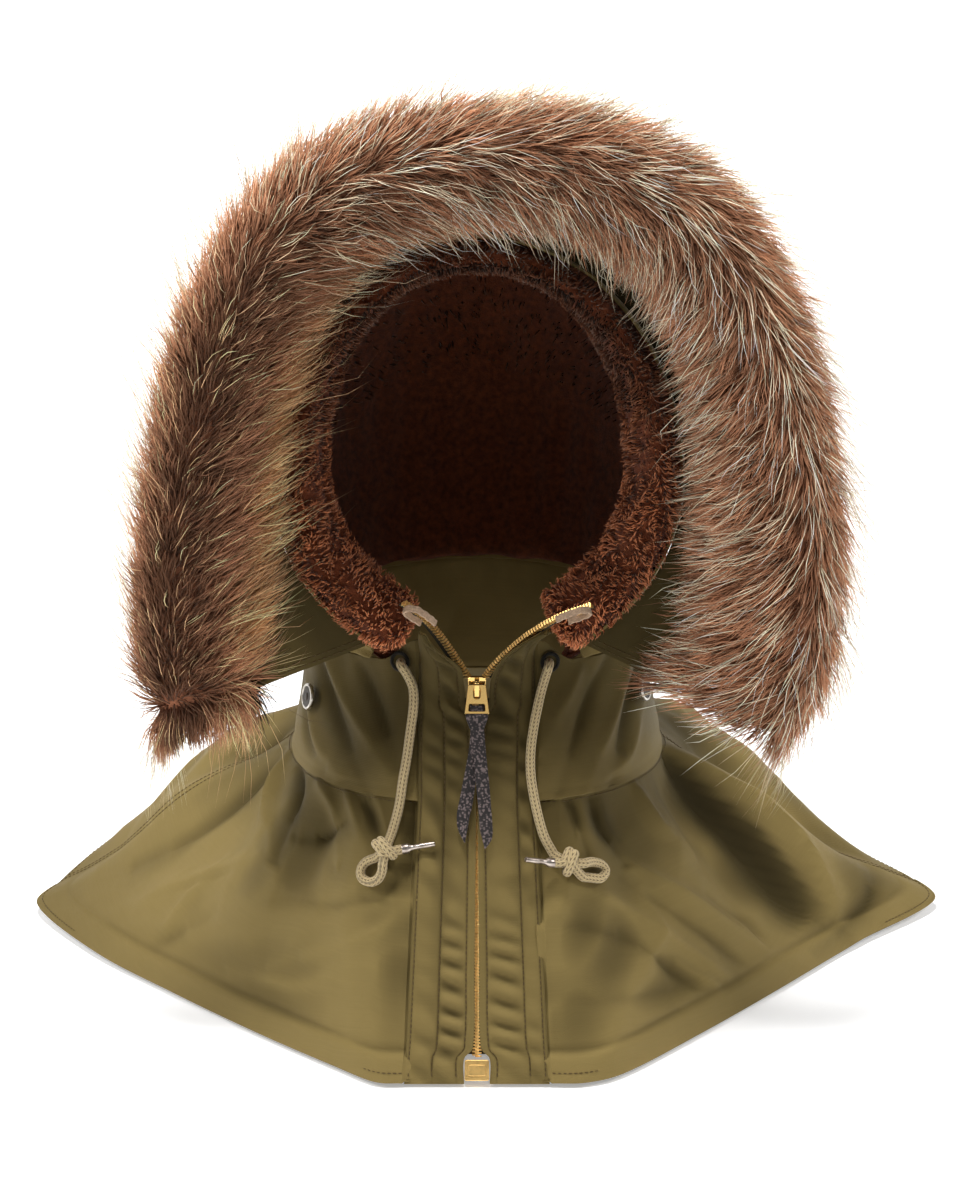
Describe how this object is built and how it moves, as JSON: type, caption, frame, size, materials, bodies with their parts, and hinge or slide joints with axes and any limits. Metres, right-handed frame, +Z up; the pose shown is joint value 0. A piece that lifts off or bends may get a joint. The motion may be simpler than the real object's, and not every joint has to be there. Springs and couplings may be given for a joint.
{
  "type": "detachable hood",
  "caption": "Detachable parka hood with a shoulder cape, front zip, flared brim with a deep fur ruff, pile lining and knotted drawcords.",
  "frame": {"origin": "inside the crown's hollow, 450 mm above the cape's front hem, where the hood sits on a head", "axes": "+Z up, -Y out of the face opening, +X to the viewer's right"},
  "size_m": [0.5331, 0.3628, 0.5376],
  "materials": {
    "olive_cloth": "satin-weave cotton",
    "fur": "long guard hair over underfur",
    "pile": "dense short pile",
    "pelt": "tanned pelt, matte",
    "brass": "polished",
    "black_leather": "pebbled",
    "suede": "suede",
    "khaki_cord": "braided",
    "dark_metal": "dull",
    "thread": "worked thread"
  },
  "bodies": {
    "hood": {"hood_shell": "olive_cloth", "brim": "olive_cloth", "neck_band": "olive_cloth", "cape": "olive_cloth", "placket_left": "olive_cloth", "placket_right": "olive_cloth", "fur_ruff": "fur", "pelt_backing": "pelt", "pile_lining": "pile", "zip_left": "brass", "zip_right": "brass", "zip_chain": "brass", "zip_slider": "brass", "zip_box": "brass", "zip_tab_left": "suede", "zip_tab_right": "suede", "zip_stop": "brass", "neck_button_left": "dark_metal", "neck_button_right": "dark_metal", "eyelet_left": "thread", "eyelet_right": "thread", "drawcord_left": "khaki_cord", "drawcord_right": "khaki_cord", "cord_knot_left": "khaki_cord", "cord_knot_right": "khaki_cord", "cord_loop_left": "khaki_cord", "cord_loop_right": "khaki_cord", "aglet_left": "dark_metal", "aglet_right": "dark_metal"},
    "puller": {"zip_puller": "brass", "leather_pull": "black_leather"}
  },
  "joints": [
    {"name": "puller_swing", "type": "hinge", "parent": "hood", "child": "puller", "pos_m": [0, -0.0995, -0.252], "axis": [-1, 0, 0], "range_deg": [0, 125]}
  ]
}
